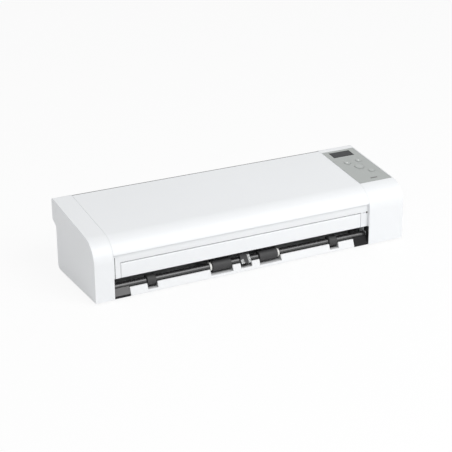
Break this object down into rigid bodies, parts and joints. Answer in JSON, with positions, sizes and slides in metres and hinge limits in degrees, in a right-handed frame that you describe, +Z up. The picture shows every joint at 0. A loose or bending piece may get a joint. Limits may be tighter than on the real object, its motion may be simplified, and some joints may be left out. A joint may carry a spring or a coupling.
{
  "type": "portable document scanner",
  "caption": "Low white sheet-fed document scanner with a curved lid that opens as the input tray, a front exit slot with rubber rollers and a grey control strip.",
  "frame": {"origin": "on the ground, under the middle of the case's box", "axes": "+X to the right seen from the front, the front faces -Y, +Z up"},
  "size_m": [0.3, 0.092, 0.0638],
  "materials": {
    "case_white": "fine satin texture",
    "panel_grey": "satin",
    "button_grey": "satin",
    "black_plastic": "satin",
    "white_acetal": "smooth",
    "clear_flag": "smooth",
    "dark_window": "polished",
    "scan_glass": "polished",
    "roller_rubber": "matt",
    "steel": "zinc plated",
    "brass": "machined",
    "board_green": "solder mask"
  },
  "bodies": {
    "case": {"base_shell": "case_white", "bearing_block_left": "panel_grey", "bearing_block_right": "black_plastic", "case_screw_left": "steel", "case_screw_right": "steel", "display_module": "black_plastic", "display_window": "dark_window", "drive_motor": "steel", "exit_ramp": "case_white", "foot_front_left": "roller_rubber", "foot_front_right": "roller_rubber", "foot_rear_left": "roller_rubber", "foot_rear_right": "roller_rubber", "frame_plate_left": "steel", "frame_plate_right": "steel", "gear_plate": "steel", "hinge_pin_left": "steel", "hinge_pin_right": "steel", "inlet_deck": "case_white", "inner_cover": "case_white", "lower_scan_bar": "black_plastic", "lower_scan_glass": "scan_glass", "main_board": "board_green", "pad_holder": "black_plastic", "panel_board": "board_green", "panel_plate": "panel_grey", "pinch_shaft": "steel", "power_socket": "black_plastic", "separation_pad": "roller_rubber", "status_lens": "dark_window", "upper_scan_bar": "black_plastic", "upper_scan_glass": "scan_glass", "upper_shell": "case_white", "usb_socket": "steel"},
    "lid": {"input_lid": "case_white"},
    "flap": {"exit_flap": "case_white"},
    "exit_axle": {"exit_shaft": "black_plastic", "exit_roller_left": "roller_rubber", "exit_roller_right": "roller_rubber", "exit_end_roller_left": "roller_rubber", "exit_end_roller_right": "roller_rubber", "exit_bush_left": "white_acetal", "exit_bush_right": "white_acetal", "exit_gear": "white_acetal"},
    "feed_axle": {"feed_shaft": "steel", "feed_roller_left": "roller_rubber", "feed_roller_right": "roller_rubber", "feed_gear": "white_acetal"},
    "motor_rotor": {"motor_pinion": "brass"},
    "front_idler": {"front_idler_gear": "white_acetal"},
    "rear_idler": {"rear_idler_gear": "white_acetal"},
    "pinch_left": {"pinch_roller_left": "black_plastic"},
    "pinch_right": {"pinch_roller_right": "black_plastic"},
    "sensor_flag": {"exit_sensor_flag": "clear_flag"},
    "guide_left": {"paper_guide_left": "panel_grey"},
    "guide_right": {"paper_guide_right": "panel_grey"},
    "left_button": {"button_left": "button_grey"},
    "right_button": {"button_right": "button_grey"},
    "scan_button": {"button_scan": "button_grey"},
    "power_button": {"button_power": "button_grey"}
  },
  "joints": [
    {"name": "lid_hinge", "type": "hinge", "parent": "case", "child": "lid", "pos_m": [-0.0095, 0.0423, 0.05997], "axis": [-1, 0, 0], "range_deg": [0, 112]},
    {"name": "flap_hinge", "type": "hinge", "parent": "case", "child": "flap", "pos_m": [-0.0095, -0.0418, 0.0301], "axis": [-1, 0, 0], "range_deg": [0, 60]},
    {"name": "motor_spin", "type": "hinge", "parent": "case", "child": "motor_rotor", "pos_m": [-0.0095, -0.0142, 0.0302], "axis": [1, 0, 0], "continuous": true},
    {"name": "front_idler_spin", "type": "hinge", "parent": "case", "child": "front_idler", "pos_m": [-0.0095, -0.02774, 0.02225], "axis": [1, 0, 0], "continuous": true},
    {"name": "rear_idler_spin", "type": "hinge", "parent": "case", "child": "rear_idler", "pos_m": [-0.0095, -0.00514, 0.02771], "axis": [1, 0, 0], "continuous": true},
    {"name": "exit_spin", "type": "hinge", "parent": "case", "child": "exit_axle", "pos_m": [-0.0095, -0.038, 0.0092], "axis": [1, 0, 0], "continuous": true},
    {"name": "feed_spin", "type": "hinge", "parent": "case", "child": "feed_axle", "pos_m": [-0.0095, 0.0085, 0.0304], "axis": [1, 0, 0], "continuous": true},
    {"name": "pinch_left_spin", "type": "hinge", "parent": "case", "child": "pinch_left", "pos_m": [-0.0095, -0.036, 0.0177], "axis": [1, 0, 0], "continuous": true},
    {"name": "pinch_right_spin", "type": "hinge", "parent": "case", "child": "pinch_right", "pos_m": [-0.0095, -0.036, 0.0177], "axis": [1, 0, 0], "continuous": true},
    {"name": "flag_hinge", "type": "hinge", "parent": "case", "child": "sensor_flag", "pos_m": [-0.0095, -0.036, 0.0177], "axis": [-1, 0, 0], "range_deg": [0, 20]},
    {"name": "guide_left_slide", "type": "slide", "parent": "case", "child": "guide_left", "axis": [1, 0, 0], "range_m": [0, 0.06]},
    {"name": "guide_right_slide", "type": "slide", "parent": "case", "child": "guide_right", "axis": [-1, 0, 0], "range_m": [0, 0.06]},
    {"name": "left_press", "type": "slide", "parent": "case", "child": "left_button", "axis": [0, 0.1392, -0.9903], "range_m": [0, 0.0006], "stiffness_N_per_m": 400},
    {"name": "right_press", "type": "slide", "parent": "case", "child": "right_button", "axis": [0, 0.1392, -0.9903], "range_m": [0, 0.0006], "stiffness_N_per_m": 400},
    {"name": "scan_press", "type": "slide", "parent": "case", "child": "scan_button", "axis": [0, 0.1392, -0.9903], "range_m": [0, 0.0006], "stiffness_N_per_m": 400},
    {"name": "power_press", "type": "slide", "parent": "case", "child": "power_button", "axis": [0, 0.1392, -0.9903], "range_m": [0, 0.0006], "stiffness_N_per_m": 400}
  ],
  "couplings": [
    {"joint": "front_idler_spin", "follows": "exit_spin", "ratio": -0.375},
    {"joint": "motor_spin", "follows": "exit_spin", "ratio": 1.25},
    {"joint": "rear_idler_spin", "follows": "exit_spin", "ratio": -0.78947},
    {"joint": "feed_spin", "follows": "exit_spin", "ratio": 0.55556},
    {"joint": "pinch_left_spin", "follows": "exit_spin", "ratio": -1.4706},
    {"joint": "pinch_right_spin", "follows": "exit_spin", "ratio": -1.4706},
    {"joint": "guide_right_slide", "follows": "guide_left_slide", "ratio": 1}
  ]
}
